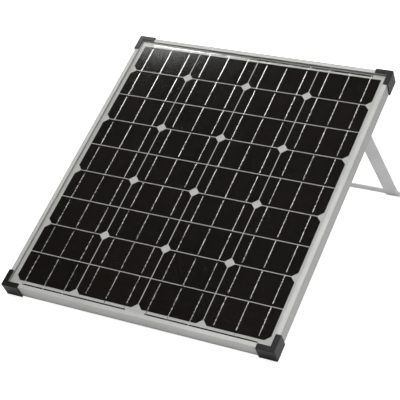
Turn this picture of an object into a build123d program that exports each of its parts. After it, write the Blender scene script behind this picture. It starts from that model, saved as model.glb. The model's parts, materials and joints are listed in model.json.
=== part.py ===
from build123d import *
from math import asin, atan2, cos, degrees, hypot, radians, sin
import os

# A framed solar panel with half-cut cells, on a fold-out rear stand.
# Millimetres. Every piece is drawn with the panel lying face up: X runs across the panel,
# Y up the panel, and Z = 0 is the back plane of its frame. The stand is drawn folded, with
# its pivot at the origin. The last section opens the stand and stands everything on the
# floor: +Z up, the panel facing -Y, the origin under the middle of the bounding box.

# ---------------------------------------------------------------- frame
FRAME_W = 670.0
FRAME_L = 765.0
FRAME_T = 35.0
WALL = 1.5
LIP_W = 10.5
LIP_T = 1.5
FRAME_ROUND = 0.7
FLANGE_W = 22.0
FLANGE_T = 1.8
CHAMBER_W = 11.0
CHAMBER_LOW = 14.0
GROOVE_LOW = 27.7
KEY_GAP = 0.1
KEY_ARM = 45.0
KEY_CHAMFER = 1.5
MOUNT_HOLE_R = 3.5
GROUND_HOLE_R = 2.1
HOLE_INSET = 13.0
MOUNT_HOLE_Y = 190.0
GROUND_HOLE_Y = -300.0

# ---------------------------------------------------------------- corner protectors
CAP_WALL = 3.0
CAP_PLATE = 2.0
CAP_ARM = 40.0
CAP_LAP = 10.0
CAP_ROUND = 1.0
CAP_CORNER = 2.5

# ---------------------------------------------------------------- laminate, from the back
LAMINATE_GAP = 2.5
BACKSHEET_LOW = 28.05
BACKSHEET_T = 0.35
EVA_T = 0.45
RIBBON_T = 0.2
CELL_T = 0.2
GLASS_T = 3.2
SEAL_W = 8.5

# ---------------------------------------------------------------- cells
COLUMNS = 4
ROWS = 9
CELL_W = 156.0
CELL_H = 78.0
CELL_GAP = 2.0
CELL_CHAMFER = 11.5
CELLS_TOP = 358.75
BUSBARS = (-52.0, 0.0, 52.0)
RIBBON_W = 2.0
RIBBON_MARGIN = 6.0
RISER_W = 1.0
BUS_W = 5.0
BUS_REACH = 3.0
BOTTOM_BUS_Y = -368.5
TOP_BUS_Y = 366.5
LEAD_GAP = 3.0
LEAD_RISER_W = 3.0
TAB_PITCH = 22.0
TAB_W = 5.0
TAB_T = 0.1
TAB_BEND_Y = 338.5
TAB_TAIL = 1.0
FILM_T = 0.1
FILM_MARGIN = 1.0

# ---------------------------------------------------------------- junction box
BOX_W = 110.0
BOX_Y = (268.0, 356.0)
BOX_WALL = 2.2
BOX_FLOOR = 2.0
BOX_ROUND = 5.0
PAD_T = 0.8
PAD_INSET = 3.0
FIT_GAP = 0.05
LID_T = 2.6
LID_ROUND = 1.2
GASKET_T = 0.8
GASKET_INSET = 0.5
BOX_LOW = 6.4
BOSS_R = 3.6
BOSS_INSET = 6.2
SCREW_R = 1.25
SCREW_L = 9.0
SCREW_HEAD_R = 2.9
SCREW_HEAD_H = 1.6
SCREW_HEAD_ROUND = 0.8
SCREW_SLOT = (3.0, 0.6)
SCREW_SLOT_T = 1.0
SCREW_HOLE_EASE = 0.15
SCREW_HEAD_EASE = 0.3
SCREW_HOLE_SPARE = 1.0
LID_GROOVE_INSET = 15.0
LID_GROOVE_W = 2.0
LID_GROOVE_T = 0.6
LID_GROOVE_ROUND = 4.0
SLOT_W = 54.0
SLOT_Y = (336.5, 340.5)
SLOT_EASE = 3.0
RAIL_W = 8.0
RAIL_Y = (290.0, 332.0)
RAIL_T = 4.0
RAIL_CHAMFER = 0.6
RAIL_HOLE_R = 2.0
RAIL_HOLE_T = 1.5
RAIL_HOLE_INSET = 6.0
DIODE_Y = 306.0
DIODE_R = 2.65
DIODE_L = 9.5
DIODE_LEAD_R = 0.6
DIODE_LEAD_GAP = 1.0
GLAND_X = 30.0
GLAND_Z = 17.0
GLAND_STUB_R = 5.0
GLAND_STUB_L = 8.0
GLAND_FLAT_R = 7.5
GLAND_COLLAR_H = 5.0
GLAND_NECK_R = 5.4
GLAND_NECK_BORE_R = 4.2
GLAND_NECK_H = 8.0
SEAL_PROUD = 1.5
CLAMP_NUT_GAP = 0.4
CLAMP_NUT_H = 12.6
CLAMP_HEX_H = 7.2
CLAMP_DOME_INSET = 0.3
CLAMP_DOME_TAPER = 24
LOCK_NUT_H = 3.5
LOCK_NUT_FLAT_R = 6.5
CABLE_R = 2.6
CABLE_EASE = 0.5

# ---------------------------------------------------------------- stand
LEG_X = 284.0
LEG_W = 38.0
LEG_T = 3.0
LEG_REACH = 435.8
LEG_START = 20.0
LEG_TOP_ROUND = 10.0
BEND_ROUND = 1.5
LUG_R = 9.0
LUG_END = 40.0
LUG_TAPER = 14.0
LUG_ROOT = 12.0
CROSSBAR_H = 25.0
STUB_H = 16.0
CROSSBAR_X = 310.0
CROSSBAR_ROUND = 2.0
PIVOT_Y = 262.5
PIVOT_Z = 13.0
OPEN_ANGLE = 102.1
BOLT_R = 2.5
PIVOT_PLAY = 0.08
SHEET_T = 2.5
EAR_X = 305.5
BRACKET_Y = 22.0
BRACKET_OUT_X = 330.0
BRACKET_FOOT_Y = 16.0
BRACKET_ROUND = 4.0
SHOULDER_H = 1.0
STOP_REACH = 1.0
STOP_GAP = 0.3
RIVET_R = 2.4
RIVET_PLAY = 0.05
RIVET_HEAD = (4.4, 1.2)
RIVET_TAIL = (3.6, 1.6)
RIVET_ROUND = 0.9
RIVET_SPREAD = 15.0
LEG_RIVET_SPREAD = 10.0
BOLT_HEAD_R = 6.0
BOLT_HEAD_H = 3.0
BOLT_HEAD_ROUND = 2.4
BOLT_CHAMFER = 0.6
BOLT_END_X = 287.0
SPACER_R = 7.5
WASHER_R = 6.5
WASHER_EASE = 0.1
WASHER_T = 1.4
SIDE_GAP = 0.1
WING_HUB_R = 5.5
WING_HUB_H = 6.5
WING_HUB_TAPER = 7
WING_T = 2.2
WING_LOW = 1.2
WING_UNDERSIDE = ((4.6, 1.2), (7.2, 4.8), (11.4, 7.0))
WING_TIP = ((11.4, 7.0), (13.0, 9.4), (11.2, 13.0))
WING_TOP = ((11.2, 13.0), (9.0, 12.4), (4.4, 6.5))

# ---------------------------------------------------------------- worked out from the above
half_w = FRAME_W / 2
half_l = FRAME_L / 2
chamber_top = GROOVE_LOW - WALL
eva_rear_low = BACKSHEET_LOW + BACKSHEET_T
rear_ribbon_low = eva_rear_low + EVA_T
cell_low = rear_ribbon_low + RIBBON_T
front_ribbon_low = cell_low + CELL_T
eva_front_low = front_ribbon_low + RIBBON_T
glass_low = eva_front_low + EVA_T
glass_top = glass_low + GLASS_T
lead_high = rear_ribbon_low - FILM_T
lead_low = lead_high - RIBBON_T
laminate_w = FRAME_W - 2 * LAMINATE_GAP
laminate_l = FRAME_L - 2 * LAMINATE_GAP
box_mid_y = sum(BOX_Y) / 2
box_l = BOX_Y[1] - BOX_Y[0]
box_high = BACKSHEET_LOW - PAD_T
lid_high = BOX_LOW + LID_T
base_low = lid_high + GASKET_T
floor_low = box_high - BOX_FLOOR
slot_mid_y = sum(SLOT_Y) / 2
slot_l = SLOT_Y[1] - SLOT_Y[0]
box_slot_l = slot_l + 2 * SLOT_EASE
lug_in_x = LEG_X + LEG_W / 2 - LEG_T
lug_out_x = LEG_X + LEG_W / 2
strip_low = LUG_R - LEG_T
ear_out_x = EAR_X + SHEET_T
washer_high_x = lug_in_x - SIDE_GAP
washer_low_x = washer_high_x - WASHER_T
nut_x = washer_low_x - SIDE_GAP

column_x = [(i - (COLUMNS - 1) / 2) * (CELL_W + CELL_GAP) for i in range(COLUMNS)]
row_y = [CELLS_TOP - CELL_H / 2 - i * (CELL_H + CELL_GAP) for i in range(ROWS)]
lead_inner = TAB_PITCH - TAB_W / 2
lead_step = column_x[2] + BUSBARS[-1] + BUS_REACH + LEAD_GAP
lead_outer = lead_step + LEAD_RISER_W
lead_run = lead_outer - lead_inner
lead_mids = [(side * (lead_inner + lead_outer) / 2, TOP_BUS_Y) for side in (-1, 1)]
riser_mids = [(side * (lead_step + LEAD_RISER_W / 2), TOP_BUS_Y) for side in (-1, 1)]

panel_pieces = []
stand_pieces = []


def keep(piece, label, group=panel_pieces):
    """Name a finished piece and put it with the panel or with the stand."""
    piece.label = label
    group.append(piece)


def keep_pair(piece, label, group=panel_pieces):
    """Keep a piece of the right-hand side, and its mirror image on the left."""
    keep(piece, f"{label}_right", group)
    keep(mirror(piece, about=Plane.YZ), f"{label}_left", group)


def keep_corners(piece, label):
    """Keep a piece of the top right corner, and its copies at the other three."""
    keep(piece, f"{label}_top_right")
    keep(mirror(piece, about=Plane.YZ), f"{label}_top_left")
    keep(mirror(piece, about=Plane.XZ), f"{label}_bottom_right")
    keep(Rot(0, 0, 180) * piece, f"{label}_bottom_left")


def slab(width, length, low, high, mid=(0, 0)):
    """A flat rectangular plate between two heights."""
    with BuildPart() as plate:
        with BuildSketch(Plane.XY.offset(low)):
            with Locations(mid):
                Rectangle(width, length)
        extrude(amount=high - low)
    return plate.part


# ================================================================ frame rails
# Each rail is one extrusion: outer wall, front lip, groove for the laminate, closed
# chamber for the corner keys, and a rear flange. Its ends are cut at 45 degrees.
def make_rail(reach, length, holes):
    with BuildPart() as rail:
        with BuildSketch(Plane.XZ):
            with Locations((reach - WALL / 2, FRAME_T / 2)):
                Rectangle(WALL, FRAME_T)
            with Locations((reach - LIP_W / 2, FRAME_T - LIP_T / 2)):
                Rectangle(LIP_W, LIP_T)
            with Locations((reach - FLANGE_W / 2, FLANGE_T / 2)):
                Rectangle(FLANGE_W, FLANGE_T)
            with Locations((reach - CHAMBER_W / 2, (CHAMBER_LOW + GROOVE_LOW) / 2)):
                Rectangle(CHAMBER_W, GROOVE_LOW - CHAMBER_LOW)
                Rectangle(
                    CHAMBER_W - 2 * WALL,
                    GROOVE_LOW - CHAMBER_LOW - 2 * WALL,
                    mode=Mode.SUBTRACT,
                )
        extrude(amount=length / 2, both=True)
        outer_edges = rail.edges().filter_by(Axis.Y).group_by(Axis.X)[-1]
        fillet(outer_edges, FRAME_ROUND)
        for end in (1, -1):
            miter = Plane(origin=(reach, end * length / 2, 0), z_dir=(1, -end, 0))
            split(bisect_by=miter, keep=Keep.TOP)
        for y, radius in holes:
            with Locations((reach - HOLE_INSET, y, FLANGE_T / 2)):
                Cylinder(radius, FLANGE_T * 2, mode=Mode.SUBTRACT)
    return rail.part


bracket_rivet_y = [PIVOT_Y - RIVET_SPREAD, PIVOT_Y + RIVET_SPREAD]
side_holes = [(y, RIVET_R + RIVET_PLAY) for y in bracket_rivet_y]
side_holes += [(MOUNT_HOLE_Y, MOUNT_HOLE_R), (-MOUNT_HOLE_Y, MOUNT_HOLE_R)]
side_holes += [(GROUND_HOLE_Y, GROUND_HOLE_R)]

keep_pair(make_rail(half_w, FRAME_L, side_holes), "frame_rail")
end_rail = make_rail(half_l, FRAME_W, [])
keep(Rot(0, 0, 90) * end_rail, "frame_rail_top")
keep(Rot(0, 0, -90) * end_rail, "frame_rail_bottom")

# ================================================================ corner keys
key_low = CHAMBER_LOW + WALL + KEY_GAP
key_high = chamber_top - KEY_GAP
key_near = WALL + KEY_GAP
key_far = CHAMBER_W - WALL - KEY_GAP
with BuildPart() as corner_key:
    with BuildSketch(Plane.XY.offset(key_low)):
        with BuildLine():
            Polyline(
                (half_w - key_near, half_l - key_near),
                (half_w - KEY_ARM, half_l - key_near),
                (half_w - KEY_ARM, half_l - key_far),
                (half_w - key_far, half_l - key_far),
                (half_w - key_far, half_l - KEY_ARM),
                (half_w - key_near, half_l - KEY_ARM),
                close=True,
            )
        make_face()
    extrude(amount=key_high - key_low)
    chamfer(corner_key.edges().filter_by(Axis.Z).group_by(Axis.X)[0], KEY_CHAMFER)
    chamfer(corner_key.edges().filter_by(Axis.Z).group_by(Axis.Y)[0], KEY_CHAMFER)
keep_corners(corner_key.part, "corner_key")

# ================================================================ corner protectors
# A moulded clip: two outer walls, an L-shaped plate over the lip and one over the flange.
cap_high = FRAME_T + CAP_PLATE
cap_low = -CAP_PLATE
with BuildPart() as protector:
    with BuildSketch(Plane.XY.offset(cap_low)):
        with BuildLine():
            Polyline(
                (half_w + CAP_WALL, half_l + CAP_WALL),
                (half_w - CAP_ARM, half_l + CAP_WALL),
                (half_w - CAP_ARM, half_l - CAP_LAP),
                (half_w - CAP_LAP, half_l - CAP_LAP),
                (half_w - CAP_LAP, half_l - CAP_ARM),
                (half_w + CAP_WALL, half_l - CAP_ARM),
                close=True,
            )
        make_face()
    extrude(amount=cap_high - cap_low)
    outer_corner = protector.edges().filter_by(Axis.Z).sort_by(Axis.X)[-2:].sort_by(Axis.Y)[-1]
    fillet(outer_corner, CAP_CORNER)
    rims = protector.edges().filter_by(Plane.XY).group_by(Axis.Z)
    fillet(rims[0] + rims[-1], CAP_ROUND)
    with BuildSketch(Plane.XY):
        Rectangle(FRAME_W, FRAME_L)
    extrude(amount=FRAME_T, mode=Mode.SUBTRACT)
keep_corners(protector.part, "corner_protector")

# ================================================================ laminate layers
keep(slab(laminate_w, laminate_l, glass_low, glass_top), "front_glass")
keep(slab(laminate_w, laminate_l, eva_front_low, glass_low), "encapsulant_front")

slot = slab(SLOT_W, slot_l, 0, FRAME_T, (0, slot_mid_y))
rear_layer = slab(laminate_w, laminate_l, eva_rear_low, rear_ribbon_low) - slot
for lead_mid in lead_mids:
    rear_layer -= slab(lead_run, BUS_W, lead_low, rear_ribbon_low, lead_mid)
keep(rear_layer, "encapsulant_rear")
keep(slab(laminate_w, laminate_l, BACKSHEET_LOW, eva_rear_low) - slot, "backsheet")

seal_inner_w = FRAME_W - 2 * WALL - 2 * SEAL_W
seal_inner_l = FRAME_L - 2 * WALL - 2 * SEAL_W
with BuildPart() as edge_seal:
    with BuildSketch(Plane.XY.offset(GROOVE_LOW)):
        Rectangle(FRAME_W - 2 * WALL, FRAME_L - 2 * WALL)
        Rectangle(seal_inner_w, seal_inner_l, mode=Mode.SUBTRACT)
    extrude(amount=FRAME_T - LIP_T - GROOVE_LOW)
    with BuildSketch(Plane.XY.offset(BACKSHEET_LOW)):
        Rectangle(laminate_w, laminate_l)
    extrude(amount=glass_top - BACKSHEET_LOW, mode=Mode.SUBTRACT)
keep(edge_seal.part, "edge_seal")

# ================================================================ cell strings
# A half-cut cell keeps the clipped corners of the whole wafer on one long edge only.
# The cut edge is up in the first row, down in the second, and so on.
with BuildSketch() as half_cell:
    Rectangle(CELL_W, CELL_H)
    chamfer(half_cell.vertices().group_by(Axis.Y)[0], CELL_CHAMFER)

for column, x in enumerate(column_x):
    with BuildPart() as string:
        with BuildSketch(Plane.XY.offset(cell_low)):
            for row, y in enumerate(row_y):
                with Locations(Location((x, y, 0), (0, 0, 180 * (row % 2)))):
                    add(half_cell.sketch)
        extrude(amount=CELL_T)
    keep(string.part, f"cell_string_{column + 1}")

# ================================================================ tabbing ribbons
# A ribbon lies on the front of one cell, steps down through the gap and lies under the
# next. Strings 1 and 3 step down the panel, strings 2 and 4 step up it.
for column, x in enumerate(column_x):
    steps_down = column % 2 == 0
    upper_z = front_ribbon_low if steps_down else rear_ribbon_low
    lower_z = rear_ribbon_low if steps_down else front_ribbon_low
    top_end = TOP_BUS_Y + BUS_W / 2
    bottom_end = BOTTOM_BUS_Y - BUS_W / 2
    runs = [(row_y[0] - CELL_H / 2 + RIBBON_MARGIN, top_end, lower_z)]
    runs += [(bottom_end, row_y[-1] + CELL_H / 2 - RIBBON_MARGIN, upper_z)]
    for above, below in zip(row_y, row_y[1:]):
        gap_y = (above + below) / 2
        runs += [(gap_y - RISER_W / 2, above + CELL_H / 2 - RIBBON_MARGIN, upper_z)]
        runs += [(below - CELL_H / 2 + RIBBON_MARGIN, gap_y + RISER_W / 2, lower_z)]
        runs += [(gap_y - RISER_W / 2, gap_y + RISER_W / 2, cell_low)]
    with BuildPart() as ribbons:
        for offset in BUSBARS:
            with BuildSketch(Plane.YZ.offset(x + offset)):
                for start, stop, low in runs:
                    with Locations(((start + stop) / 2, low + RIBBON_T / 2)):
                        Rectangle(stop - start, RIBBON_T)
            extrude(amount=RIBBON_W / 2, both=True)
    keep(ribbons.part, f"tabbing_ribbons_{column + 1}")

# ================================================================ bus ribbons and output tabs
# Bottom: strings 1-2 and 3-4 are joined. Top: strings 2-3 are joined by the link ribbon. The
# leads of the outer two strings step behind the link and run to the middle, insulated from
# it by film, and three tabs dive through the backsheet to the junction box.
first_bar = BUSBARS[0] - BUS_REACH
last_bar = BUSBARS[-1] + BUS_REACH
bus_runs = [
    (column_x[0] + first_bar, column_x[1] + last_bar, BOTTOM_BUS_Y),
    (column_x[2] + first_bar, column_x[3] + last_bar, BOTTOM_BUS_Y),
    (column_x[1] + first_bar, column_x[2] + last_bar, TOP_BUS_Y),
    (column_x[0] + first_bar, -lead_step, TOP_BUS_Y),
    (lead_step, column_x[3] + last_bar, TOP_BUS_Y),
]
with BuildPart() as bus_ribbons:
    with BuildSketch(Plane.XY.offset(cell_low)):
        for start, stop, y in bus_runs:
            with Locations(((start + stop) / 2, y)):
                Rectangle(stop - start, BUS_W)
    extrude(amount=CELL_T)
    with BuildSketch(Plane.XY.offset(lead_low)):
        with Locations(*riser_mids):
            Rectangle(LEAD_RISER_W, BUS_W)
    extrude(amount=cell_low + CELL_T - lead_low)
    with BuildSketch(Plane.XY.offset(lead_low)):
        with Locations(*lead_mids):
            Rectangle(lead_run, BUS_W)
    extrude(amount=RIBBON_T)
keep(bus_ribbons.part, "bus_ribbons")

tab_low = floor_low - TAB_TAIL
tab_run_l = TOP_BUS_Y - TAB_BEND_Y
with BuildPart() as output_tabs:
    for x, pad_low, pad_t in (
        (-TAB_PITCH, lead_high, FILM_T + TAB_T),
        (0, rear_ribbon_low, RIBBON_T),
        (TAB_PITCH, lead_high, FILM_T + TAB_T),
    ):
        with Locations((x, TOP_BUS_Y, pad_low + pad_t / 2)):
            Box(TAB_W, BUS_W, pad_t)
        with Locations((x, TAB_BEND_Y + tab_run_l / 2, rear_ribbon_low + TAB_T / 2)):
            Box(TAB_W, tab_run_l, TAB_T)
        with Locations((x, TAB_BEND_Y + TAB_T / 2, (tab_low + rear_ribbon_low) / 2)):
            Box(TAB_W, TAB_T, rear_ribbon_low - tab_low)
keep(output_tabs.part, "output_tabs")

# One film lies over the tabs, with a window for the middle one, and one over each lead.
film_w = 2 * TAB_PITCH + TAB_W + 2 * FILM_MARGIN
film_l = TOP_BUS_Y + BUS_W / 2 - TAB_BEND_Y
with BuildPart() as insulating_films:
    with BuildSketch(Plane.XY.offset(rear_ribbon_low + TAB_T)):
        with Locations((0, TAB_BEND_Y + film_l / 2)):
            Rectangle(film_w, film_l)
        with Locations((0, TOP_BUS_Y)):
            Rectangle(TAB_W + 2 * FILM_MARGIN, BUS_W + 2 * FILM_MARGIN, mode=Mode.SUBTRACT)
    extrude(amount=RIBBON_T - TAB_T)
    with BuildSketch(Plane.XY.offset(lead_high)):
        for side in (-1, 1):
            with Locations((side * (film_w / 2 + lead_step) / 2, TOP_BUS_Y)):
                Rectangle(lead_step - film_w / 2, BUS_W)
    extrude(amount=FILM_T)
keep(insulating_films.part, "insulating_films")

# ================================================================ junction box
box_slot = slab(SLOT_W, box_slot_l, 0, FRAME_T, (0, slot_mid_y))
pad_w = BOX_W - 2 * PAD_INSET
pad_l = box_l - 2 * PAD_INSET
box_pad = slab(pad_w, pad_l, box_high, BACKSHEET_LOW, (0, box_mid_y)) - box_slot
keep(box_pad, "junction_box_adhesive")

boss_places = [(sx * (BOX_W / 2 - BOSS_INSET), box_mid_y + sy * (box_l / 2 - BOSS_INSET))
               for sx in (-1, 1) for sy in (-1, 1)]
inner_w = BOX_W - 2 * BOX_WALL
inner_l = box_l - 2 * BOX_WALL
inner_round = BOX_ROUND - BOX_WALL
with BuildPart() as box_base:
    with BuildSketch(Plane.XY.offset(base_low)):
        with Locations((0, box_mid_y)):
            RectangleRounded(BOX_W, box_l, BOX_ROUND)
    extrude(amount=box_high - base_low)
    with BuildSketch(Plane.XY.offset(base_low)):
        with Locations((0, box_mid_y)):
            RectangleRounded(inner_w, inner_l, inner_round)
    extrude(amount=floor_low - base_low, mode=Mode.SUBTRACT)
    with BuildSketch(Plane.XY.offset(base_low)):
        with Locations(*boss_places):
            Circle(BOSS_R)
    extrude(amount=box_high - base_low)
    with BuildSketch(Plane.XY.offset(base_low)):
        with Locations(*boss_places):
            Circle(SCREW_R + FIT_GAP)
    extrude(amount=SCREW_L + SCREW_HOLE_SPARE, mode=Mode.SUBTRACT)
    with BuildSketch(Plane.XY.offset(floor_low)):
        with Locations((0, slot_mid_y)):
            Rectangle(SLOT_W, box_slot_l)
    extrude(amount=BOX_FLOOR, mode=Mode.SUBTRACT)
    with BuildSketch(Plane.XZ.offset(-BOX_Y[0])):
        with Locations((-GLAND_X, GLAND_Z), (GLAND_X, GLAND_Z)):
            Circle(GLAND_STUB_R + FIT_GAP)
    extrude(amount=-BOX_WALL, mode=Mode.SUBTRACT)
keep(box_base.part, "junction_box_base")

with BuildPart() as box_gasket:
    with BuildSketch(Plane.XY.offset(lid_high)):
        with Locations((0, box_mid_y)):
            RectangleRounded(BOX_W - 2 * GASKET_INSET, box_l - 2 * GASKET_INSET, BOX_ROUND - GASKET_INSET)
            RectangleRounded(inner_w, inner_l, inner_round, mode=Mode.SUBTRACT)
    extrude(amount=GASKET_T)
keep(box_gasket.part, "junction_box_gasket")

groove_w = BOX_W - 2 * LID_GROOVE_INSET
groove_l = box_l - 2 * LID_GROOVE_INSET
land_w = groove_w - 2 * LID_GROOVE_W
land_l = groove_l - 2 * LID_GROOVE_W
with BuildPart() as box_lid:
    with BuildSketch(Plane.XY.offset(BOX_LOW)):
        with Locations((0, box_mid_y)):
            RectangleRounded(BOX_W, box_l, BOX_ROUND)
    extrude(amount=LID_T)
    fillet(box_lid.edges().group_by(Axis.Z)[0], LID_ROUND)
    with BuildSketch(Plane.XY.offset(BOX_LOW)):
        with Locations((0, box_mid_y)):
            RectangleRounded(groove_w, groove_l, LID_GROOVE_ROUND)
            RectangleRounded(land_w, land_l, LID_GROOVE_ROUND - LID_GROOVE_W, mode=Mode.SUBTRACT)
    extrude(amount=LID_GROOVE_T, mode=Mode.SUBTRACT)
    with BuildSketch(Plane.XY.offset(BOX_LOW)):
        with Locations(*boss_places):
            Circle(SCREW_HEAD_R + SCREW_HEAD_EASE)
    extrude(amount=SCREW_HEAD_H, mode=Mode.SUBTRACT)
    with BuildSketch(Plane.XY.offset(BOX_LOW)):
        with Locations(*boss_places):
            Circle(SCREW_R + SCREW_HOLE_EASE)
    extrude(amount=LID_T, mode=Mode.SUBTRACT)
keep(box_lid.part, "junction_box_lid")

with BuildPart() as lid_screws:
    with BuildSketch(Plane.XY.offset(BOX_LOW)):
        with Locations(*boss_places):
            Circle(SCREW_HEAD_R)
    extrude(amount=SCREW_HEAD_H)
    fillet(lid_screws.edges().group_by(Axis.Z)[0], SCREW_HEAD_ROUND)
    with BuildSketch(Plane.XY.offset(BOX_LOW + SCREW_HEAD_H)):
        with Locations(*boss_places):
            Circle(SCREW_R)
    extrude(amount=SCREW_L)
    with BuildSketch(Plane.XY.offset(BOX_LOW)):
        with Locations(*boss_places):
            Rectangle(*SCREW_SLOT)
            Rectangle(*reversed(SCREW_SLOT))
    extrude(amount=SCREW_SLOT_T, mode=Mode.SUBTRACT)
keep(lid_screws.part, "junction_box_lid_screws")

# Three terminal rails, with a bypass diode across each of the two gaps.
rail_low = floor_low - RAIL_T
diode_z = rail_low - DIODE_LEAD_R
with BuildPart() as terminal_rails:
    for x in (-TAB_PITCH, 0, TAB_PITCH):
        with Locations((x, sum(RAIL_Y) / 2, rail_low + RAIL_T / 2)):
            Box(RAIL_W, RAIL_Y[1] - RAIL_Y[0], RAIL_T)
    chamfer(terminal_rails.edges().filter_by(Axis.Y), RAIL_CHAMFER)
    for x in (-TAB_PITCH, 0, TAB_PITCH):
        with Locations((x, RAIL_Y[0] + RAIL_HOLE_INSET, rail_low + RAIL_HOLE_T / 2)):
            Cylinder(RAIL_HOLE_R, RAIL_HOLE_T, mode=Mode.SUBTRACT)
keep(terminal_rails.part, "terminal_rails")

with BuildPart() as bypass_diodes:
    for x in (-TAB_PITCH / 2, TAB_PITCH / 2):
        with BuildSketch(Plane.YZ.offset(x)):
            with Locations((DIODE_Y, diode_z)):
                Circle(DIODE_R)
        extrude(amount=DIODE_L / 2, both=True)
        with BuildSketch(Plane.YZ.offset(x)):
            with Locations((DIODE_Y, diode_z)):
                Circle(DIODE_LEAD_R)
        extrude(amount=TAB_PITCH / 2 - DIODE_LEAD_GAP, both=True)
keep(bypass_diodes.part, "bypass_diodes")

# Cable glands: a body through the wall, a lock nut inside, a clamping nut and a seal.
gland_plane = Plane(origin=(GLAND_X, BOX_Y[0], GLAND_Z), x_dir=(1, 0, 0), z_dir=(0, -1, 0))
with BuildPart() as gland_body:
    with BuildSketch(gland_plane):
        RegularPolygon(GLAND_FLAT_R, 6, major_radius=False)
    extrude(amount=GLAND_COLLAR_H)
    with BuildSketch(gland_plane.offset(GLAND_COLLAR_H)):
        Circle(GLAND_NECK_R)
    extrude(amount=GLAND_NECK_H)
    with BuildSketch(gland_plane):
        Circle(GLAND_STUB_R)
    extrude(amount=-GLAND_STUB_L)
    with BuildSketch(gland_plane.offset(-GLAND_STUB_L)):
        Circle(CABLE_R + CABLE_EASE)
    extrude(amount=GLAND_STUB_L + GLAND_COLLAR_H, mode=Mode.SUBTRACT)
    with BuildSketch(gland_plane.offset(GLAND_COLLAR_H)):
        Circle(GLAND_NECK_BORE_R)
    extrude(amount=GLAND_NECK_H, mode=Mode.SUBTRACT)
keep_pair(gland_body.part, "gland_body")

seal_l = GLAND_NECK_H + SEAL_PROUD
with BuildPart() as gland_seal:
    with BuildSketch(gland_plane.offset(GLAND_COLLAR_H)):
        Circle(GLAND_NECK_BORE_R - FIT_GAP)
        Circle(CABLE_R, mode=Mode.SUBTRACT)
    extrude(amount=seal_l)
keep_pair(gland_seal.part, "gland_seal")

nut_start = GLAND_COLLAR_H + CLAMP_NUT_GAP
with BuildPart() as gland_nut:
    with BuildSketch(gland_plane.offset(nut_start)):
        RegularPolygon(GLAND_FLAT_R, 6, major_radius=False)
    extrude(amount=CLAMP_HEX_H)
    with BuildSketch(gland_plane.offset(nut_start + CLAMP_HEX_H)):
        Circle(GLAND_FLAT_R - CLAMP_DOME_INSET)
    extrude(amount=CLAMP_NUT_H - CLAMP_HEX_H, taper=CLAMP_DOME_TAPER)
    with BuildSketch(gland_plane.offset(nut_start)):
        Circle(GLAND_NECK_R + FIT_GAP)
    extrude(amount=seal_l, mode=Mode.SUBTRACT)
    with BuildSketch(gland_plane.offset(nut_start)):
        Circle(CABLE_R + CABLE_EASE)
    extrude(amount=CLAMP_NUT_H, mode=Mode.SUBTRACT)
keep_pair(gland_nut.part, "gland_nut")

with BuildPart() as gland_lock_nut:
    with BuildSketch(gland_plane.offset(-BOX_WALL)):
        RegularPolygon(LOCK_NUT_FLAT_R, 6, major_radius=False)
        Circle(GLAND_STUB_R + FIT_GAP, mode=Mode.SUBTRACT)
    extrude(amount=-LOCK_NUT_H)
keep_pair(gland_lock_nut.part, "gland_lock_nut")

# ================================================================ hinge brackets
# The base is riveted to the flange; the ear carries the pivot; the stop finger, level
# with the base, meets the edge of the lug when the leg is fully open.
open_rad = radians(OPEN_ANGLE)
along = (-cos(open_rad), -sin(open_rad))
across = (sin(open_rad), -cos(open_rad))
stop_s = (PIVOT_Z + LUG_R * across[1] - FLANGE_T) / -along[1]
stop_y = PIVOT_Y + stop_s * along[0] + LUG_R * across[0] + STOP_GAP
base_high = FLANGE_T + SHEET_T
shoulder_z = base_high + SHOULDER_H
square_hole = 2 * (BOLT_R + FIT_GAP)
bracket_end_y = PIVOT_Y + BRACKET_Y
stop_x = lug_in_x - STOP_REACH
with BuildPart() as bracket:
    with BuildSketch(Plane.XY.offset(FLANGE_T)):
        with Locations(((EAR_X + BRACKET_OUT_X) / 2, PIVOT_Y)):
            Rectangle(BRACKET_OUT_X - EAR_X, 2 * BRACKET_Y)
        with Locations(((stop_x + EAR_X) / 2, (stop_y + bracket_end_y) / 2)):
            Rectangle(EAR_X - stop_x, bracket_end_y - stop_y)
        with Locations(*[(half_w - HOLE_INSET, y) for y in bracket_rivet_y]):
            Circle(RIVET_R + RIVET_PLAY, mode=Mode.SUBTRACT)
    extrude(amount=SHEET_T)
    with BuildSketch(Plane.YZ.offset(EAR_X)):
        with Locations((PIVOT_Y, PIVOT_Z)):
            Circle(LUG_R)
        with BuildLine():
            Polyline(
                (PIVOT_Y - BRACKET_FOOT_Y, FLANGE_T),
                (PIVOT_Y + BRACKET_FOOT_Y, FLANGE_T),
                (PIVOT_Y + BRACKET_FOOT_Y, shoulder_z),
                (PIVOT_Y + LUG_R, PIVOT_Z),
                (PIVOT_Y - LUG_R, PIVOT_Z),
                (PIVOT_Y - BRACKET_FOOT_Y, shoulder_z),
                close=True,
            )
        make_face()
        with Locations((PIVOT_Y, PIVOT_Z)):
            Rectangle(square_hole, square_hole, mode=Mode.SUBTRACT)
    extrude(amount=SHEET_T)
    fillet(bracket.edges().filter_by(Axis.Z).sort_by(Axis.X)[-2:], BRACKET_ROUND)
keep_pair(bracket.part, "hinge_bracket")


def make_rivets(places, low, high):
    """Dome-headed rivets along Z that clamp everything between two heights."""
    head_r, head_h = RIVET_HEAD
    tail_r, tail_h = RIVET_TAIL
    with BuildPart() as rivets:
        with Locations(*[(x, y, low - head_h / 2) for x, y in places]):
            Cylinder(head_r, head_h)
        with Locations(*[(x, y, high + tail_h / 2) for x, y in places]):
            Cylinder(tail_r, tail_h)
        fillet(rivets.edges().group_by(Axis.Z)[0], RIVET_ROUND)
        fillet(rivets.edges().group_by(Axis.Z)[-1], RIVET_ROUND)
        with Locations(*[(x, y, (low + high) / 2) for x, y in places]):
            Cylinder(RIVET_R, high - low)
    return rivets.part


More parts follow.
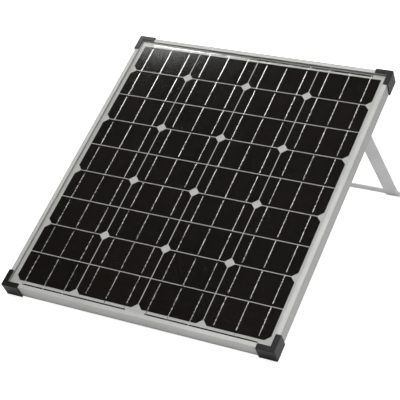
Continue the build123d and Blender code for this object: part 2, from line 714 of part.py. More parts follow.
flange_places = [(side * (half_w - HOLE_INSET), y) for side in (-1, 1) for y in bracket_rivet_y]
keep(make_rivets(flange_places, 0, base_high), "bracket_rivets")

# ================================================================ pivots
pivot_plane = Plane(origin=(ear_out_x, PIVOT_Y, PIVOT_Z), x_dir=(0, 1, 0), z_dir=(1, 0, 0))
with BuildPart() as pivot_bolt:
    with BuildSketch(pivot_plane):
        Circle(BOLT_HEAD_R)
    extrude(amount=BOLT_HEAD_H)
    fillet(pivot_bolt.edges().group_by(Axis.X)[-1], BOLT_HEAD_ROUND)
    with BuildSketch(pivot_plane):
        Rectangle(2 * BOLT_R, 2 * BOLT_R)
    extrude(amount=-SHEET_T)
    with BuildSketch(pivot_plane):
        Circle(BOLT_R)
    extrude(amount=BOLT_END_X - ear_out_x)
    chamfer(pivot_bolt.edges().group_by(Axis.X)[0], BOLT_CHAMFER)
keep_pair(pivot_bolt.part, "pivot_bolt")

with BuildPart() as spacer_washer:
    with BuildSketch(Plane.YZ.offset(lug_out_x + SIDE_GAP)):
        with Locations((PIVOT_Y, PIVOT_Z)):
            Circle(SPACER_R)
            Circle(BOLT_R + WASHER_EASE, mode=Mode.SUBTRACT)
    extrude(amount=EAR_X - lug_out_x - SIDE_GAP)
keep_pair(spacer_washer.part, "spacer_washer")

with BuildPart() as flat_washer:
    with BuildSketch(Plane.YZ.offset(washer_low_x)):
        with Locations((PIVOT_Y, PIVOT_Z)):
            Circle(WASHER_R)
            Circle(BOLT_R + WASHER_EASE, mode=Mode.SUBTRACT)
    extrude(amount=WASHER_T)
keep_pair(flat_washer.part, "flat_washer")

# The wing nut's hub tapers inward, and its two wings lean away from the leg.
nut_plane = Plane(origin=(nut_x, PIVOT_Y, PIVOT_Z), x_dir=(0, 1, 0), z_dir=(-1, 0, 0))
wing_plane = Plane(origin=(nut_x, PIVOT_Y, PIVOT_Z), x_dir=(0, 1, 0), z_dir=(0, 0, 1))
with BuildPart() as wing_nut:
    with BuildSketch(wing_plane):
        with BuildLine():
            Polyline((0, WING_LOW), *WING_UNDERSIDE)
            ThreePointArc(*WING_TIP)
            Polyline(*WING_TOP, (0, WING_HUB_H))
            Line((0, WING_HUB_H), (0, WING_LOW))
        make_face()
        mirror(about=Plane.YZ)
    extrude(amount=WING_T / 2, both=True)
    with BuildSketch(nut_plane):
        Circle(WING_HUB_R)
    extrude(amount=WING_HUB_H, taper=WING_HUB_TAPER)
    with BuildSketch(nut_plane):
        Circle(BOLT_R + FIT_GAP)
    extrude(amount=WING_HUB_H, mode=Mode.SUBTRACT)
keep_pair(wing_nut.part, "wing_nut")

# ================================================================ stand, drawn folded
crossbar_low = strip_low - LEG_T
crossbar_mid_y = -LEG_REACH + CROSSBAR_H / 2
leg_rivet_x = [LEG_X - LEG_RIVET_SPREAD, LEG_X + LEG_RIVET_SPREAD]
leg_rivet_places = [(side * x, crossbar_mid_y) for side in (-1, 1) for x in leg_rivet_x]
with BuildPart() as leg:
    with BuildSketch(Plane.XY.offset(strip_low)):
        with Locations((LEG_X, -(LEG_START + LEG_REACH) / 2)):
            Rectangle(LEG_W, LEG_REACH - LEG_START)
        with Locations(*[(x, crossbar_mid_y) for x in leg_rivet_x]):
            Circle(RIVET_R + RIVET_PLAY, mode=Mode.SUBTRACT)
    extrude(amount=LEG_T)
    upright_edges = leg.edges().filter_by(Axis.Z).filter_by(GeomType.LINE)
    fillet(upright_edges.group_by(Axis.X)[0].sort_by(Axis.Y)[-1], LEG_TOP_ROUND)
    with BuildSketch(Plane.YZ.offset(lug_in_x)):
        Circle(LUG_R)
        with BuildLine():
            Polyline(
                (0, LUG_R),
                (-LUG_END - LUG_ROOT, LUG_R),
                (-LUG_END - LUG_ROOT, strip_low),
                (-LUG_END, strip_low),
                (-LUG_END + LUG_TAPER, -LUG_R),
                (0, -LUG_R),
                close=True,
            )
        make_face()
        Circle(BOLT_R + PIVOT_PLAY, mode=Mode.SUBTRACT)
    extrude(amount=LEG_T)
    outer_bend = leg.edges().filter_by(Axis.Y).group_by(Axis.X)[-1].group_by(Axis.Z)[-1]
    fillet(outer_bend, BEND_ROUND)
keep_pair(leg.part, "leg", stand_pieces)

with BuildPart() as crossbar:
    with BuildSketch(Plane.XY.offset(crossbar_low)):
        with Locations((0, crossbar_mid_y)):
            Rectangle(2 * lug_out_x, CROSSBAR_H)
        with Locations((0, -LEG_REACH + STUB_H / 2)):
            Rectangle(2 * CROSSBAR_X, STUB_H)
        with Locations(*leg_rivet_places):
            Circle(RIVET_R + RIVET_PLAY, mode=Mode.SUBTRACT)
    extrude(amount=LEG_T)
    fillet(crossbar.edges().filter_by(Axis.Z).group_by(Axis.X)[0], CROSSBAR_ROUND)
    fillet(crossbar.edges().filter_by(Axis.Z).group_by(Axis.X)[-1], CROSSBAR_ROUND)
keep(crossbar.part, "crossbar", stand_pieces)
keep(make_rivets(leg_rivet_places, crossbar_low, strip_low + LEG_T), "crossbar_rivets", stand_pieces)

# ================================================================ standing on the floor
# The panel leans on the lower rear rim of its bottom protectors and on the leg ends.
rim = (-half_l - CAP_WALL + CAP_ROUND, cap_low + CAP_ROUND)
foot = (
    PIVOT_Y + LEG_REACH * along[0] - LUG_R * across[0],
    PIVOT_Z + LEG_REACH * along[1] - LUG_R * across[1],
)
step = (foot[0] - rim[0], foot[1] - rim[1])
TILT = degrees(atan2(-step[1], step[0]) - asin(CAP_ROUND / hypot(*step)))

lean = Rot(TILT, 0, 0)
unfold = lean * Pos(0, PIVOT_Y, PIVOT_Z) * Rot(OPEN_ANGLE, 0, 0)
standing = [(lean * piece, piece.label) for piece in panel_pieces]
standing += [(unfold * piece, piece.label) for piece in stand_pieces]
bounds = Compound([piece for piece, label in standing]).bounding_box()
to_floor = Pos(-bounds.center().X, -bounds.center().Y, -bounds.min.Z)

os.makedirs("parts", exist_ok=True)
for piece, label in standing:
    placed = to_floor * piece
    placed.label = label
    export_step(placed, f"parts/{label}.step")
solid_count = sum(len(piece.solids()) for piece, label in standing)
print("tilt", round(TILT, 3), "size", bounds.size, "solids", solid_count)
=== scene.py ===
import json
from math import cos, pi, radians, sin

import bmesh
import bpy
from mathutils import Matrix, Vector, noise


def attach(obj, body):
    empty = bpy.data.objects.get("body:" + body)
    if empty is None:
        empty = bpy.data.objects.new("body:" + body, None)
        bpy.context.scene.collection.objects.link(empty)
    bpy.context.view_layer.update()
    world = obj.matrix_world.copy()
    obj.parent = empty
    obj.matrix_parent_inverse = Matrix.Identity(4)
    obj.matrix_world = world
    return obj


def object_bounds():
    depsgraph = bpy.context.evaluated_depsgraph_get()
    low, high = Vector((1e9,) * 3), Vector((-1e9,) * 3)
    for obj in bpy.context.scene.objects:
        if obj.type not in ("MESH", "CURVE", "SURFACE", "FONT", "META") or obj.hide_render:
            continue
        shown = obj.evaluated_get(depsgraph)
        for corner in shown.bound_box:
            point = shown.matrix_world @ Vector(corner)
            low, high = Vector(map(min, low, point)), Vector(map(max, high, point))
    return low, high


# The looks of a framed solar panel on its fold-out stand. Metres, in the frame of the
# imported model: +Z up, the panel facing -Y and leaning back.
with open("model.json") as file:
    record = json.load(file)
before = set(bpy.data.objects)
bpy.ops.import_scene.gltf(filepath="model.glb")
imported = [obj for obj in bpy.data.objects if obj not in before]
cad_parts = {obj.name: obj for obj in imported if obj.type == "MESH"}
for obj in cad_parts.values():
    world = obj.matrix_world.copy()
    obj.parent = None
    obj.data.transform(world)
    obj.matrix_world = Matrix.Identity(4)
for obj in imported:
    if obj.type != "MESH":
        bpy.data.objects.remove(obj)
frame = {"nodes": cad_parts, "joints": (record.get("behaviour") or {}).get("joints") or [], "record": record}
cad_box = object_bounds()
record = frame["record"]
nodes = frame["nodes"]
MM = 0.001

# ================================================================ the panel's own axes
# Worked out from the four mounting holes in the rear flange: X across the panel, Y up it,
# Z out of its face, with the origin in the middle of the frame's back plane.
mounts = {mount["name"]: mount for mount in record["mounts"]}
joints = {joint["name"]: joint for joint in frame["joints"]}


def spot(name):
    """Where a mount of the record is."""
    return Vector(mounts[name]["pos_m"])


flange_t = mounts["mounting_hole_left_upper"]["dims"]["length_mm"] * MM
across = (spot("mounting_hole_right_upper") - spot("mounting_hole_left_upper")).normalized()
upward = (spot("mounting_hole_left_upper") - spot("mounting_hole_left_lower")).normalized()
outward = -Vector(mounts["mounting_hole_left_upper"]["axis"])
hole_spots = [spot(name) for name in mounts if name.startswith("mounting_hole")]
back_middle = sum(hole_spots, Vector()) / len(hole_spots) - outward * flange_t / 2
panel = Matrix((across, upward, outward)).transposed().to_4x4()
panel.translation = back_middle

# The stand's axes: Y from its feet to the pivot, Z out of the legs' flat side.
fold = joints["stand_fold"]
stand = panel.to_3x3().to_4x4() @ Matrix.Rotation(radians(-fold["range_deg"][0]), 4, "X")
stand.translation = Vector(fold["pos_m"])


def local_box(node):
    """Lowest and highest corner of a CAD node in the panel's axes, in metres."""
    inverse = panel.inverted()
    corners = [inverse @ vertex.co for vertex in nodes[node].data.vertices]
    low = Vector(min(corner[i] for corner in corners) for i in range(3))
    high = Vector(max(corner[i] for corner in corners) for i in range(3))
    return low, high


# ================================================================ camera
# The photo's viewing angle, seen through a long lens from the front right.
CAMERA_AZIMUTH = radians(28.42)
CAMERA_ELEVATION = radians(25.72)
CAMERA_ROLL = radians(-1.94)
CAMERA_DISTANCE = 2.896
CAMERA_LENS = 113.18
AIM_FROM_MIDDLE = Vector((-0.0002, -0.0990, -0.0425))

middle = (cad_box[0] + cad_box[1]) / 2
aim = middle + AIM_FROM_MIDDLE
toward_camera = Vector((
    sin(CAMERA_AZIMUTH) * cos(CAMERA_ELEVATION),
    -cos(CAMERA_AZIMUTH) * cos(CAMERA_ELEVATION),
    sin(CAMERA_ELEVATION),
))
level = Vector((cos(CAMERA_AZIMUTH), sin(CAMERA_AZIMUTH), 0))
rising = toward_camera.cross(level)
camera_right = level * cos(CAMERA_ROLL) + rising * sin(CAMERA_ROLL)
camera_up = toward_camera.cross(camera_right)
camera = bpy.data.objects.new("camera", bpy.data.cameras.new("camera"))
bpy.context.scene.collection.objects.link(camera)
camera.matrix_world = Matrix((camera_right, camera_up, toward_camera)).transposed().to_4x4()
camera.location = aim + toward_camera * CAMERA_DISTANCE
camera.data.lens = CAMERA_LENS
bpy.context.scene.camera = camera
bpy.context.scene.view_settings.view_transform = "Standard"


# ================================================================ node helpers
def add(tree, kind, inputs=None, **settings):
    """A shader node. An input's value is a socket to link from, or a plain value."""
    made = tree.nodes.new("ShaderNode" + kind)
    for name, value in settings.items():
        setattr(made, name, value)
    for key, value in (inputs or {}).items():
        if isinstance(value, bpy.types.NodeSocket):
            tree.links.new(value, made.inputs[key])
        else:
            made.inputs[key].default_value = value
    return made


def new_material(name):
    """A material with an empty tree but for its output node."""
    made = bpy.data.materials.new(name)
    made.use_nodes = True
    tree = made.node_tree
    tree.nodes.clear()
    return made, tree, add(tree, "OutputMaterial")


def coords(tree, axes=panel, scale=(1, 1, 1)):
    """Position in the panel's or the stand's axes, in metres times scale."""
    inverse = axes.inverted()
    placed = add(tree, "Mapping", {
        "Vector": add(tree, "TexCoord").outputs["Object"],
        "Location": inverse.translation,
        "Rotation": inverse.to_euler(),
    })
    return add(tree, "Mapping", {"Vector": placed.outputs[0], "Scale": scale}).outputs[0]


def fuzz(tree, vector, scale, detail):
    """Noise from 0 to 1, around 0.5. Its scale is in waves per unit of the vector."""
    inputs = {"Vector": vector, "Scale": scale, "Detail": detail}
    return add(tree, "TexNoise", inputs).outputs[0]


def ranged(tree, value, low, high, start=0.3, stop=0.7):
    """Value from start..stop brought to low..high, smoothly."""
    return add(tree, "MapRange", {
        "Value": value, "From Min": start, "From Max": stop, "To Min": low, "To Max": high,
    }, interpolation_type="SMOOTHSTEP").outputs[0]


def maths(tree, operation, first, second=0.0):
    """The result of a Math node."""
    return add(tree, "Math", {0: first, 1: second}, operation=operation).outputs[0]


def blend(tree, factor, first, second):
    """Two colours mixed by a factor."""
    made = add(tree, "Mix", data_type="RGBA")
    for key, value in ((0, factor), (6, first), (7, second)):
        if isinstance(value, bpy.types.NodeSocket):
            tree.links.new(value, made.inputs[key])
        else:
            made.inputs[key].default_value = value if key == 0 else (*value, 1)
    return made.outputs[2]


def shaded(tree, pattern, colour, dark, light=1.0):
    """A colour that a pattern takes from dark to light times its own brightness."""
    return blend(tree, ranged(tree, pattern, 0, 1), scaled(colour, dark), scaled(colour, light))


def scaled(colour, factor):
    """A colour with its channels multiplied."""
    return tuple(channel * factor for channel in colour)


def bumped(tree, height, depth):
    """A normal from a height between 0 and 1 that stands for a depth in millimetres."""
    inputs = {"Height": height, "Distance": depth * MM, "Strength": 1.0}
    return add(tree, "Bump", inputs).outputs[0]


def finish_with(tree, output, **inputs):
    """One Principled shader, its inputs named with underscores."""
    named = {key.replace("_", " "): value for key, value in inputs.items()}
    shader = add(tree, "BsdfPrincipled", named)
    tree.links.new(shader.outputs[0], output.inputs["Surface"])


# ================================================================ materials
# The axis, of those that a finish is given, that its pattern runs along.
ACROSS = 0
UP = 1
LINES_BESIDE = 1700
LINES_ALONG = 9
LINE_SHARE = 0.55
CLOUD_SHARE = 0.45


def drawn_metal(name, colour, roughness, axes, along, metallic):
    """Metal with fine lines along one of its axes, and soft larger variation."""
    made, tree, output = new_material(name)
    stretch = [LINES_ALONG if i == along else LINES_BESIDE for i in range(3)]
    lines = fuzz(tree, coords(tree, axes, stretch), scale=1, detail=2)
    cloud = fuzz(tree, coords(tree, axes), scale=14, detail=4)
    line_part = maths(tree, "MULTIPLY", lines, LINE_SHARE)
    cloud_part = maths(tree, "MULTIPLY", cloud, CLOUD_SHARE)
    tone = maths(tree, "ADD", line_part, cloud_part)
    finish_with(
        tree, output,
        Base_Color=shaded(tree, tone, colour, dark=0.9, light=1.05),
        Metallic=metallic,
        Roughness=ranged(tree, tone, roughness - 0.05, roughness + 0.07),
        Normal=bumped(tree, lines, depth=0.02),
    )
    return made


def moulded_plastic(name, colour, roughness, grain=1400, gloss=0.5):
    """Moulded plastic with a fine spark-eroded grain."""
    made, tree, output = new_material(name)
    place = coords(tree)
    pits = fuzz(tree, place, scale=grain, detail=2)
    cloud = fuzz(tree, place, scale=35, detail=3)
    finish_with(
        tree, output,
        Base_Color=shaded(tree, cloud, colour, dark=0.8, light=1.25),
        Roughness=ranged(tree, pits, roughness - 0.06, roughness + 0.08),
        Specular_IOR_Level=gloss,
        Normal=bumped(tree, pits, depth=0.05),
    )
    return made


def plated_metal(name, colour, roughness):
    """Plated metal: bright, with fine crystalline mottling."""
    made, tree, output = new_material(name)
    place = coords(tree)
    crystals = add(tree, "TexVoronoi", {"Vector": place, "Scale": 900}).outputs["Color"]
    sheen = add(tree, "RGBToBW", {0: crystals}).outputs[0]
    cloud = fuzz(tree, place, scale=260, detail=3)
    finish_with(
        tree, output,
        Base_Color=shaded(tree, cloud, colour, dark=0.82),
        Metallic=1.0,
        Roughness=ranged(tree, sheen, roughness - 0.06, roughness + 0.08, start=0.2, stop=0.8),
        Normal=bumped(tree, cloud, depth=0.01),
    )
    return made


def film(name, colour, roughness):
    """Laminated film or foil: faint large waves, and a slight satin unevenness."""
    made, tree, output = new_material(name)
    place = coords(tree)
    waves = fuzz(tree, place, scale=18, detail=2)
    dust = fuzz(tree, place, scale=420, detail=3)
    finish_with(
        tree, output,
        Base_Color=shaded(tree, dust, colour, dark=0.965),
        Roughness=ranged(tree, dust, roughness - 0.05, roughness + 0.07),
        Normal=bumped(tree, waves, depth=0.12),
    )
    return made


def rubber(name, colour, roughness, grain=600, depth=0.06):
    """Rubber, foam or sealant: matt, with fine pores."""
    made, tree, output = new_material(name)
    pores = fuzz(tree, coords(tree), scale=grain, detail=4)
    finish_with(
        tree, output,
        Base_Color=shaded(tree, pores, colour, dark=0.85, light=1.1),
        Roughness=ranged(tree, pores, roughness - 0.08, roughness + 0.08),
        Normal=bumped(tree, pores, depth),
    )
    return made


CELL_PITCH_X = 158 * MM
CELL_PITCH_Y = 80 * MM
FINGER_PITCH = 2.0 * MM
FINGER_CORE = 0.04 * MM
FINGER_EDGE = 0.16 * MM
FINGER_SHARE = 0.20
FINGER_SILVER = (0.10, 0.088, 0.08)
WAFER_DARK = (0.0047, 0.0030, 0.0019)
WAFER_LIGHT = (0.0066, 0.0042, 0.0028)
WAFER_ETCHED = (0.0108, 0.0076, 0.0060)


def silicon_cells(name):
    """Near-black wafers with fine screen-printed fingers, each cell a little different."""
    made, tree, output = new_material(name)
    place = coords(tree)
    x, y, _ = add(tree, "SeparateXYZ", {0: place}).outputs
    _, top = local_box("cell_string_1")
    above_top = maths(tree, "SUBTRACT", y, top.y)
    column = maths(tree, "FLOOR", maths(tree, "DIVIDE", x, CELL_PITCH_X))
    row = maths(tree, "FLOOR", maths(tree, "DIVIDE", above_top, CELL_PITCH_Y))
    cell = add(tree, "CombineXYZ", {0: column, 1: row}).outputs[0]
    lot = add(tree, "TexWhiteNoise", {"Vector": cell}).outputs["Value"]
    etched = fuzz(tree, place, scale=60, detail=5)
    wafer = blend(tree, ranged(tree, lot, 0, 1, start=0, stop=1), WAFER_DARK, WAFER_LIGHT)
    wafer = blend(tree, ranged(tree, etched, 0, 0.35), wafer, WAFER_ETCHED)
    off_finger = maths(tree, "PINGPONG", y, FINGER_PITCH / 2)
    finger = ranged(tree, off_finger, 1, 0, FINGER_CORE, FINGER_EDGE)
    silver = maths(tree, "MULTIPLY", finger, FINGER_SHARE)
    finish_with(
        tree, output,
        Base_Color=blend(tree, silver, wafer, FINGER_SILVER),
        Roughness=ranged(tree, etched, 0.42, 0.52),
        Specular_IOR_Level=0.05,
    )
    return made


TIN = (0.93, 0.93, 0.92)
DIP_STRETCH = 0.35


def tinned_copper(name, roughness, brightness, metallic, along):
    """Solder-dipped ribbon: bright, and a little wavy along its length."""
    made, tree, output = new_material(name)
    stretch = [DIP_STRETCH if i == along else 1 for i in range(3)]
    dips = fuzz(tree, coords(tree, panel, stretch), scale=420, detail=2)
    finish_with(
        tree, output,
        Base_Color=shaded(tree, dips, scaled(TIN, brightness), dark=0.88),
        Metallic=metallic,
        Roughness=ranged(tree, dips, roughness - 0.05, roughness + 0.06),
        Normal=bumped(tree, dips, depth=0.012),
    )
    return made


def clear_pane(name, roughness, index, tint):
    """A clear sheet: what is behind it shows unbent, and its outer faces mirror softly."""
    made, tree, output = new_material(name)
    mottle = fuzz(tree, coords(tree), scale=900, detail=2)
    through = add(tree, "BsdfTransparent", {"Color": (*tint, 1)}).outputs[0]
    gloss = add(tree, "BsdfAnisotropic", {
        "Color": (1, 1, 1, 1),
        "Roughness": ranged(tree, mottle, roughness - 0.004, roughness + 0.006),
    }).outputs[0]
    outer = maths(tree, "SUBTRACT", 1.0, add(tree, "NewGeometry").outputs["Backfacing"])
    share = maths(tree, "MULTIPLY", add(tree, "Fresnel", {"IOR": index}).outputs[0], outer)
    mixed = add(tree, "MixShader", {0: share, 1: through, 2: gloss})
    tree.links.new(mixed.outputs[0], output.inputs["Surface"])
    return made


def sealed_clear(name):
    """The clear encapsulant: bonded to the glass and the cells, so it mirrors nothing."""
    made, tree, output = new_material(name)
    cloud = fuzz(tree, coords(tree), scale=25, detail=2)
    tint = blend(tree, ranged(tree, cloud, 0, 1), (0.985, 0.985, 0.98), (1, 1, 1))
    through = add(tree, "BsdfTransparent", {"Color": tint})
    tree.links.new(through.outputs[0], output.inputs["Surface"])
    return made


ALUMINIUM = (0.66, 0.665, 0.645)
MILL_ALUMINIUM = (0.93, 0.93, 0.93)
BLACK = (0.005, 0.005, 0.005)
BOX_BLACK = (0.018, 0.018, 0.019)
anodised_upright = drawn_metal("anodised_upright", ALUMINIUM, 0.46, panel, UP, metallic=0.3)
anodised_level = drawn_metal("anodised_level", ALUMINIUM, 0.46, panel, ACROSS, metallic=0.3)
leg_metal = drawn_metal("leg_metal", MILL_ALUMINIUM, 0.42, stand, UP, metallic=0.15)
bar_metal = drawn_metal("bar_metal", MILL_ALUMINIUM, 0.42, stand, ACROSS, metallic=0.15)
bracket_metal = drawn_metal("bracket_metal", MILL_ALUMINIUM, 0.38, panel, UP, metallic=0.9)
protector_black = moulded_plastic("protector_black", BLACK, 0.30, gloss=0.38)
box_black = moulded_plastic("box_black", BOX_BLACK, 0.46, grain=1100)
zinc = plated_metal("zinc", (0.66, 0.66, 0.63), 0.30)
black_rubber = rubber("black_rubber", (0.018, 0.018, 0.018), 0.6)
silicone = rubber("silicone", (0.72, 0.72, 0.70), 0.45, grain=90, depth=0.3)
foam = rubber("foam", (0.62, 0.62, 0.60), 0.85, grain=900, depth=0.15)
nylon = moulded_plastic("nylon", (0.72, 0.70, 0.64), 0.4, grain=700)
epoxy = moulded_plastic("epoxy", (0.02, 0.02, 0.021), 0.35)
brass = plated_metal("brass", (0.72, 0.58, 0.30), 0.32)
white_layer = film("white_layer", (0.72, 0.72, 0.70), 0.5)
backsheet = film("backsheet", (0.74, 0.75, 0.74), 0.42)
clear_film = film("clear_film", (0.80, 0.81, 0.80), 0.35)
cells = silicon_cells("cells")
tab_ribbon = tinned_copper("tab_ribbon", 0.26, brightness=0.95, metallic=0.85, along=UP)
# The bus ribbons are the same tin as the tab ribbons, but their colour is darkened to 0.6. That is painted
# shade for the dark overhead they mirror, on top of the real mirroring from their low roughness.
bus_ribbon = tinned_copper("bus_ribbon", 0.10, brightness=0.6, metallic=1.0, along=ACROSS)
glass = clear_pane("glass", 0.06, index=1.5, tint=(0.985, 0.99, 0.98))
encapsulant = sealed_clear("encapsulant")

# A node takes the first finish whose start its name has.
FINISHES = (
    ("frame_rail_left", anodised_upright),
    ("frame_rail_right", anodised_upright),
    ("frame_rail", anodised_level),
    ("corner_key", anodised_level),
    ("corner_protector", protector_black),
    ("front_glass", glass),
    ("encapsulant_front", encapsulant),
    ("encapsulant_rear", white_layer),
    ("backsheet", backsheet),
    ("edge_seal", foam),
    ("cell_string", cells),
    ("tabbing_ribbons", tab_ribbon),
    ("bus_ribbons", bus_ribbon),
    ("output_tabs", bus_ribbon),
    ("insulating_films", clear_film),
    ("junction_box_adhesive", silicone),
    ("junction_box_gasket", black_rubber),
    ("junction_box_lid_screws", zinc),
    ("junction_box", box_black),
    ("terminal_rails", brass),
    ("bypass_diodes", epoxy),
    ("gland_seal", black_rubber),
    ("gland", box_black),
    ("hinge_bracket", bracket_metal),
    ("bracket_rivets", bracket_metal),
    ("pivot_bolt", zinc),
    ("spacer_washer", nylon),
    ("flat_washer", zinc),
    ("wing_nut", zinc),
    ("leg_", leg_metal),
    ("crossbar", bar_metal),
)
for name, node in nodes.items():
    finish = next(finish for start, finish in FINISHES if name.startswith(start))
    node.data.materials.clear()
    node.data.materials.append(finish)


# ================================================================ pieces of its own
# Lengths from here to the next section are in millimetres, in the panel's axes.
def own_piece(name, verts, faces, finish, body):
    """A smooth mesh that rides on a CAD body."""
    mesh = bpy.data.meshes.new(name)
    mesh.from_pydata([panel @ (Vector(vert) * MM) for vert in verts], [], faces)
    mesh.update()
    made = bmesh.new()
    made.from_mesh(mesh)
    bmesh.ops.recalc_face_normals(made, faces=made.faces)
    made.to_mesh(mesh)
    made.free()
    for polygon in mesh.polygons:
        polygon.use_smooth = True
    mesh.materials.append(finish)
    piece = bpy.data.objects.new(name, mesh)
    bpy.context.scene.collection.objects.link(piece)
    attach(piece, body)


def skin(count, ring, closed):
    """Faces between successive sections of a tube: count sections of ring points each."""
    faces = []
    for i in range(count if closed else count - 1):
        j = (i + 1) % count
        for k in range(ring):
            m = (k + 1) % ring
            faces.append((i * ring + k, j * ring + k, j * ring + m, i * ring + m))
    return faces


# ---------------------------------------------------------------- sealant
# A bead runs along a rectangle on the back of the backsheet. Its reach is measured from the
# rectangle, its drop from the sheet. The frame's rectangle is 1 mm clear of the rails.
BACKSHEET_LOW = 28.05
BEAD_STEPS = 7
BEAD_STEP_L = 2.5
BEAD_SINK = 0.25
BEAD_HOLLOW = 0.7
WANDER = 0.22
WANDER_SCALE = 0.07
RIPPLE = 0.11
RIPPLE_SCALE = 0.45
BOX_ROUND = 5.0
BOX_REACH = 2.6
BOX_DROP = 2.2
SEALANT_HALF = Vector((323.0, 370.5))
SEALANT_ROUND = 1.5
SEALANT_REACH = 2.0
SEALANT_DROP = 1.6
OUTWARD = 1
INWARD = -1


def round_loop(low, high, radius):
    """Points and outward directions along a rectangle with round corners, by even steps."""
    loop = []
    corners = (
        (high[0] - radius, high[1] - radius, 0),
        (low[0] + radius, high[1] - radius, 90),
        (low[0] + radius, low[1] + radius, 180),
        (high[0] - radius, low[1] + radius, 270),
    )
    turn_steps = max(3, round(radius * pi / 2))
    for i, (x, y, start) in enumerate(corners):
        for k in range(turn_steps + 1):
            angle = radians(start + 90 * k / turn_steps)
            way = Vector((cos(angle), sin(angle)))
            loop.append((Vector((x, y)) + way * radius, way))
        point, way = loop[-1]
        next_x, next_y, _ = corners[(i + 1) % 4]
        goal = Vector((next_x, next_y)) + way * radius
        count = round((goal - point).length / BEAD_STEP_L)
        loop += [(point.lerp(goal, k / count), way) for k in range(1, count)]
    return loop


def bead(name, low, high, radius, reach, drop, side):
    """A hollow fillet of sealant on the backsheet, along a rectangle and a little uneven."""
    loop = round_loop(low, high, radius)
    verts = []
    for point, way in loop:
        size = 1 + WANDER * noise.noise(Vector((point.x, point.y, reach)) * WANDER_SCALE)
        size += RIPPLE * noise.noise(Vector((point.x, point.y, drop)) * RIPPLE_SCALE)
        section = [(-BEAD_SINK, -BEAD_SINK)]
        for k in range(BEAD_STEPS):
            turn = k / (BEAD_STEPS - 1) * pi / 2
            out = reach * size * (1 - cos(turn)) ** BEAD_HOLLOW
            down = drop * size * (1 - sin(turn)) ** BEAD_HOLLOW
            section.append((out, down))
        for offset, depth in section:
            spread = point + way * side * offset
            verts.append((spread.x, spread.y, BACKSHEET_LOW - depth))
    faces = skin(len(loop), BEAD_STEPS + 1, closed=True)
    own_piece(name, verts, faces, silicone, "panel")


box_low, box_high = (corner / MM for corner in local_box("junction_box_base"))
bead("junction_box_bead", box_low, box_high, BOX_ROUND, BOX_REACH, BOX_DROP, OUTWARD)
bead(
    "frame_sealant", -SEALANT_HALF, SEALANT_HALF,
    SEALANT_ROUND, SEALANT_REACH, SEALANT_DROP, INWARD,
)

# ---------------------------------------------------------------- bolt threads
# Root and crest lie below the bolt's surface by these amounts, and the crest rises past
# it away from the thread's ends. Their half widths are shares of the pitch.
THREAD_R = 2.5
THREAD_PITCH = 0.8
THREAD_START = 0.5
THREAD_L = 5.5
THREAD_SIDES = 24
ROOT_SINK = 0.1
ROOT_HALF = 0.38
CREST_SINK = 0.05
CREST_RISE = 0.15
CREST_HALF = 0.06


def thread(side):
    """The thread on the end of a pivot bolt that stands out of the wing nut."""
    low, high = (corner / MM for corner in local_box(f"pivot_bolt_{side}"))
    axis_y = (low.y + high.y) / 2
    axis_z = (low.z + high.z) / 2
    sign = 1 if side == "right" else -1
    start = min(abs(low.x), abs(high.x)) + THREAD_START
    count = round(THREAD_L / THREAD_PITCH * THREAD_SIDES)
    root = THREAD_R - ROOT_SINK
    verts = []
    for i in range(count + 1):
        angle = 2 * pi * i / THREAD_SIDES
        along = start + THREAD_L * i / count
        taper = min(1.0, i / THREAD_SIDES, (count - i) / THREAD_SIDES)
        crest = THREAD_R - CREST_SINK + CREST_RISE * taper
        profile = (
            (-ROOT_HALF, root), (-CREST_HALF, crest), (CREST_HALF, crest), (ROOT_HALF, root),
        )
        for shift, reach in profile:
            x = sign * (along + shift * THREAD_PITCH)
            verts.append((x, axis_y + reach * cos(angle), axis_z + reach * sin(angle)))
    ring = len(profile)
    last = count * ring
    faces = skin(count + 1, ring, closed=False)
    faces += [(0, 1, 2, 3), (last + 3, last + 2, last + 1, last)]
    own_piece(f"bolt_thread_{side}", verts, faces, zinc, "panel")


for side in ("left", "right"):
    thread(side)


# ================================================================ floor and light
# The camera sees a pale floor and background; what they give the object is set apart.
# Heights and depths of the world are the Z and the Y of a direction.
FLOOR_HALF = 30.0
FLOOR_GLOW = 0.09
FLOOR_LIFT = 0.78
PAPER_DARK = (0.90, 0.90, 0.90)
PAPER_LIGHT = (0.92, 0.92, 0.92)
WALL_LIGHT = 0.38
WALL_HEIGHT = 0.55
CEILING_LIGHT = 0.02
CEILING_HEIGHT = 0.84
FRONT_SHARE = 0.20
FRONT_DEPTH = -0.9
FRONT_END = 0.1
WINDOW = Vector((-0.489, 0.269, 0.852))
WINDOW_LIGHT = 9.6
WINDOW_OUTER = radians(7.8)
WINDOW_INNER = radians(5.5)
KEY_DIRECTION = Vector((0.15, -0.30, 0.94))
KEY_DISTANCE = 3.5
KEY_SIZE = 2.0
KEY_POWER = 72


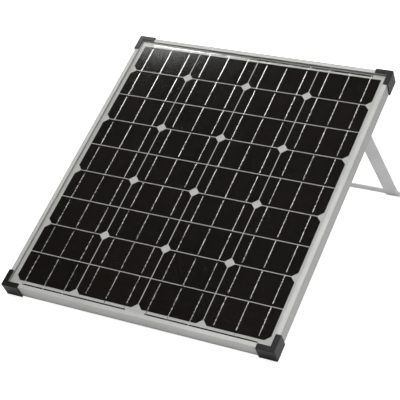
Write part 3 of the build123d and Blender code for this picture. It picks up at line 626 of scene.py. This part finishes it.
def build_floor():
    """A wide sheet of pale paper."""
    half = FLOOR_HALF
    corners = [(-half, -half, 0), (half, -half, 0), (half, half, 0), (-half, half, 0)]
    mesh = bpy.data.meshes.new("floor")
    mesh.from_pydata(corners, [], [(0, 1, 2, 3)])
    floor = bpy.data.objects.new("floor", mesh)
    bpy.context.scene.collection.objects.link(floor)
    made, tree, output = new_material("floor_paper")
    fibre = fuzz(tree, add(tree, "TexCoord").outputs["Object"], scale=300, detail=2)
    seen = add(tree, "LightPath").outputs["Is Camera Ray"]
    lift = maths(tree, "MULTIPLY", seen, FLOOR_LIFT)
    finish_with(
        tree, output,
        Base_Color=blend(tree, ranged(tree, fibre, 0, 1), PAPER_DARK, PAPER_LIGHT),
        Roughness=0.9,
        Specular_IOR_Level=0.1,
        Emission_Color=(1, 1, 1, 1),
        Emission_Strength=maths(tree, "ADD", FLOOR_GLOW, lift),
    )
    mesh.materials.append(made)


def build_world():
    """A pale studio: dimmer in front, dark overhead, and one soft window high up behind the
    left side."""
    world = bpy.data.worlds.new("studio")
    world.use_nodes = True
    tree = world.node_tree
    tree.nodes.clear()
    direction = add(tree, "TexCoord").outputs["Generated"]
    _, depth, height = add(tree, "SeparateXYZ", {0: direction}).outputs
    walls = ranged(tree, height, WALL_LIGHT, CEILING_LIGHT, WALL_HEIGHT, CEILING_HEIGHT)
    front = ranged(tree, depth, FRONT_SHARE, 1.0, FRONT_DEPTH, FRONT_END)
    walls = maths(tree, "MULTIPLY", walls, front)
    toward = add(
        tree, "VectorMath", {0: direction, 1: WINDOW.normalized()}, operation="DOT_PRODUCT",
    ).outputs["Value"]
    window = ranged(tree, toward, 0, WINDOW_LIGHT, cos(WINDOW_OUTER), cos(WINDOW_INNER))
    studio = maths(tree, "ADD", walls, window)
    seen = add(tree, "LightPath").outputs["Is Camera Ray"]
    strength = add(tree, "Mix", {0: seen, 2: studio, 3: 1.0}, data_type="FLOAT").outputs[0]
    back = add(tree, "Background", {"Color": (1, 1, 1, 1), "Strength": strength})
    add(tree, "OutputWorld", {"Surface": back.outputs[0]})
    bpy.context.scene.world = world


def build_key_light():
    """A square soft light overhead, a little to the front, that faces the object."""
    data = bpy.data.lights.new("key_light", "AREA")
    data.shape = "SQUARE"
    data.size = KEY_SIZE
    data.energy = KEY_POWER
    light = bpy.data.objects.new("key_light", data)
    away = KEY_DIRECTION.normalized()
    light.location = middle + away * KEY_DISTANCE
    light.rotation_mode = "QUATERNION"
    light.rotation_quaternion = away.to_track_quat("Z", "Y")
    bpy.context.scene.collection.objects.link(light)


build_floor()
build_world()
build_key_light()
